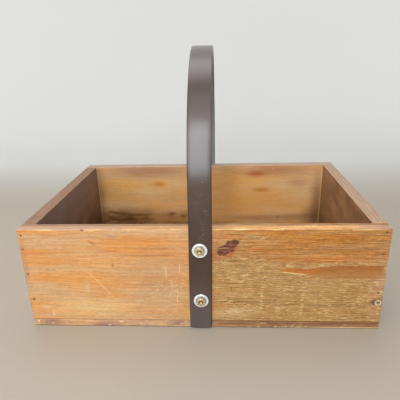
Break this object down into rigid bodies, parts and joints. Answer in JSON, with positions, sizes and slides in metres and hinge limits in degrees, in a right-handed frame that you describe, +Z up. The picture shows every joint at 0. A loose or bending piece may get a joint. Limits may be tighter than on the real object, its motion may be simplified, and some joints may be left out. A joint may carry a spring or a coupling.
{
  "type": "wooden tool tote",
  "caption": "Open rectangular wooden tote of butted, nailed boards with an arched leather strap handle bolted to its long sides.",
  "frame": {"origin": "middle of the box's base, on the surface that it rests on", "axes": "+X along the box to the right, +Y from the front with the knot to the back, +Z up"},
  "size_m": [0.4064, 0.2856, 0.3124],
  "materials": {
    "pine_front": "honey stained pine, satin varnish, worn edges, scratches and flecks",
    "pine_back": "honey stained pine, satin varnish, darker stains near the bottom",
    "pine_end": "brown stained pine, satin varnish, worn rim",
    "pine_bottom": "brown stained pine, scuffed edges",
    "strap_leather": "dark brown harness leather, smooth satin face, burnished edges, light scuffs",
    "yellow_metal": "yellow, dull shine",
    "washer_steel": "zinc plated, bright rim",
    "nail_steel": "dark, tarnished",
    "screw_steel": "tarnished, worn bright rim"
  },
  "bodies": {
    "root": {"front_board": "pine_front", "back_board": "pine_back", "left_end_board": "pine_end", "right_end_board": "pine_end", "bottom_board": "pine_bottom", "handle_strap": "strap_leather", "front_upper_bolt": "yellow_metal", "front_lower_bolt": "yellow_metal", "rear_upper_bolt": "yellow_metal", "rear_lower_bolt": "yellow_metal", "front_upper_washer": "washer_steel", "front_lower_washer": "washer_steel", "rear_upper_washer": "washer_steel", "rear_lower_washer": "washer_steel", "front_upper_nut": "yellow_metal", "front_lower_nut": "yellow_metal", "rear_upper_nut": "yellow_metal", "rear_lower_nut": "yellow_metal", "front_left_nails": "nail_steel", "front_right_nails": "nail_steel", "back_left_nails": "nail_steel", "back_right_nails": "nail_steel", "bottom_front_nails": "nail_steel", "bottom_back_nails": "nail_steel", "bottom_left_nails": "nail_steel", "bottom_right_nails": "nail_steel", "corner_screw": "screw_steel"}
  },
  "joints": []
}
